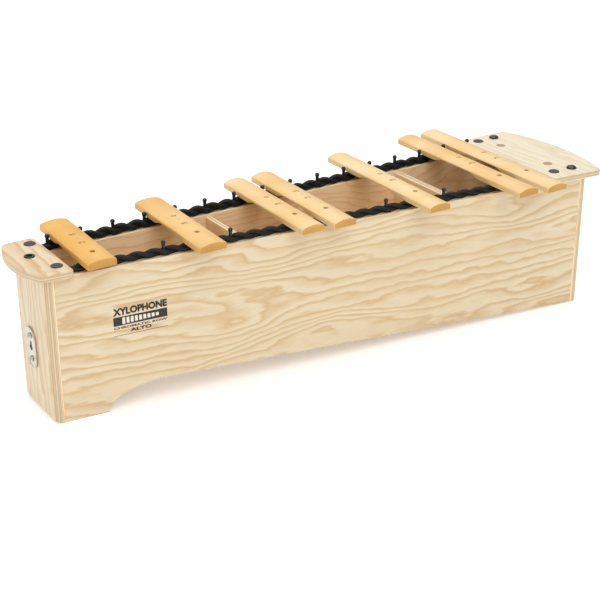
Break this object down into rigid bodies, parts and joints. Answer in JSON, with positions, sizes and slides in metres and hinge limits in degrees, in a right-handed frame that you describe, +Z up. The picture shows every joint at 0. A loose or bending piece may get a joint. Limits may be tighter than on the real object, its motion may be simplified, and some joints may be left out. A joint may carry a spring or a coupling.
{
  "type": "box resonator xylophone",
  "caption": "Tapered plywood resonator box with two twisted cords, pegs, end caps and lift-off tone bars for the raised notes.",
  "frame": {"origin": "on the floor under the middle of the instrument's outline", "axes": "+X towards the bass end, +Y towards the back, +Z up"},
  "size_m": [0.7948, 0.262, 0.2058],
  "materials": {
    "pine_plywood": "clear satin lacquer on pine-faced plywood",
    "interior_plywood": "bare softwood and plywood",
    "cap_plywood": "clear satin lacquer on plywood",
    "rubber_discs": "matt",
    "beech_plugs": "sanded flush and lacquered",
    "black_domes": "moulded, slightly glossy",
    "screw_steel": "bright zinc plate",
    "cord_fibre": "twisted two-strand, slightly shiny",
    "black_pegs": "plastic sleeve over a steel nail",
    "nickel_plate": "nickel plate",
    "fibreglass_bar": "pultruded glass fibre, satin"
  },
  "bodies": {
    "box": {"front_panel": "pine_plywood", "back_panel": "pine_plywood", "left_end_panel": "pine_plywood", "right_end_panel": "pine_plywood", "bottom_board": "interior_plywood", "front_cleat": "interior_plywood", "back_cleat": "interior_plywood", "corner_blocks": "interior_plywood", "treble_divider": "interior_plywood", "bass_divider": "interior_plywood", "left_cap": "cap_plywood", "right_cap": "cap_plywood", "cap_discs": "rubber_discs", "cap_plugs": "beech_plugs", "stacking_domes": "black_domes", "cap_ring": "black_domes", "cap_screw": "screw_steel", "back_cord": "cord_fibre", "front_cord": "cord_fibre", "back_pegs": "black_pegs", "front_pegs": "black_pegs", "hanger_plate": "nickel_plate", "plate_screws": "screw_steel"},
    "c_sharp_3_bar": {"bar_c_sharp_3": "fibreglass_bar"},
    "g_sharp_2_bar": {"bar_g_sharp_2": "fibreglass_bar"},
    "d_sharp_2_bar": {"bar_d_sharp_2": "fibreglass_bar"},
    "c_sharp_2_bar": {"bar_c_sharp_2": "fibreglass_bar"},
    "g_sharp_1_bar": {"bar_g_sharp_1": "fibreglass_bar"},
    "d_sharp_1_bar": {"bar_d_sharp_1": "fibreglass_bar"},
    "c_sharp_1_bar": {"bar_c_sharp_1": "fibreglass_bar"}
  },
  "joints": [
    {"name": "lift_c_sharp_3", "type": "slide", "parent": "box", "child": "c_sharp_3_bar", "axis": [0, 0, 1], "range_m": [0, 0.06]},
    {"name": "lift_g_sharp_2", "type": "slide", "parent": "box", "child": "g_sharp_2_bar", "axis": [0, 0, 1], "range_m": [0, 0.06]},
    {"name": "lift_d_sharp_2", "type": "slide", "parent": "box", "child": "d_sharp_2_bar", "axis": [0, 0, 1], "range_m": [0, 0.06]},
    {"name": "lift_c_sharp_2", "type": "slide", "parent": "box", "child": "c_sharp_2_bar", "axis": [0, 0, 1], "range_m": [0, 0.06]},
    {"name": "lift_g_sharp_1", "type": "slide", "parent": "box", "child": "g_sharp_1_bar", "axis": [0, 0, 1], "range_m": [0, 0.06]},
    {"name": "lift_d_sharp_1", "type": "slide", "parent": "box", "child": "d_sharp_1_bar", "axis": [0, 0, 1], "range_m": [0, 0.06]},
    {"name": "lift_c_sharp_1", "type": "slide", "parent": "box", "child": "c_sharp_1_bar", "axis": [0, 0, 1], "range_m": [0, 0.06]}
  ]
}
